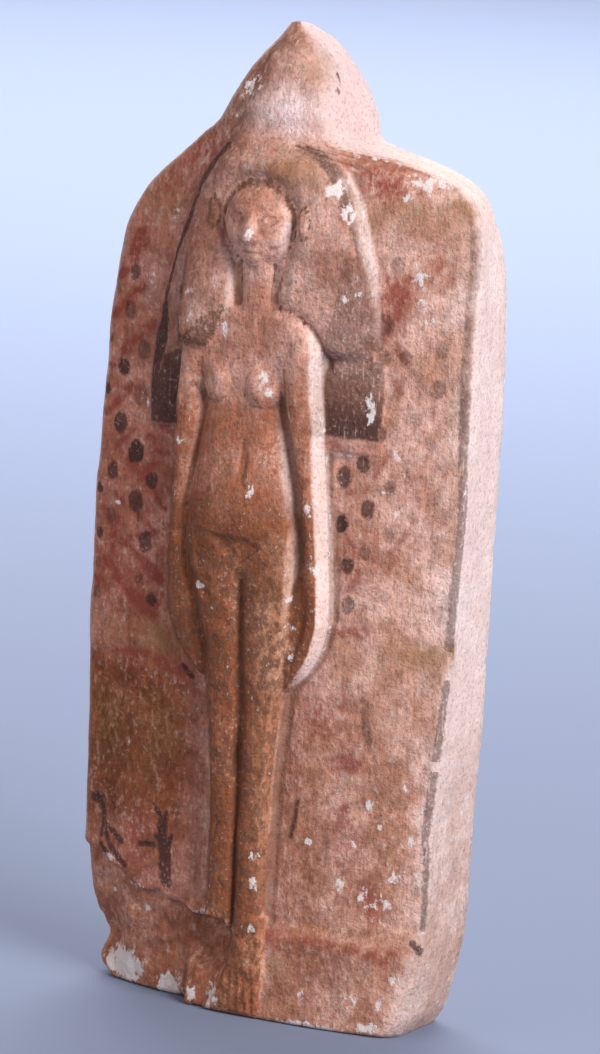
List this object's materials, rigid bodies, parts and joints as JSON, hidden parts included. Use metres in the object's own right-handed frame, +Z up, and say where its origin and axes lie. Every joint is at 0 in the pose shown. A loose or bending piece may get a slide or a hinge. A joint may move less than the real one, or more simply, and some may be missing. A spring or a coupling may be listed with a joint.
{
  "type": "limestone fertility figurine",
  "caption": "Free-standing carved limestone votive slab with a pointed cone on top and a standing woman in a long wig in raised relief, painted and worn.",
  "frame": {"origin": "on the underside, below the middle of the bounding box", "axes": "+Z up towards the tip of the cone, +Y towards the flat back, so the carved front faces -Y, +X to the right as seen from the front"},
  "size_m": [0.1016, 0.0392, 0.24],
  "materials": {
    "painted_limestone": "matt buff limestone with rubbed red, ochre and black paint, chalky chips and brown dirt in the hollows"
  },
  "bodies": {
    "root": {"limestone_figurine": "painted_limestone"}
  },
  "joints": []
}
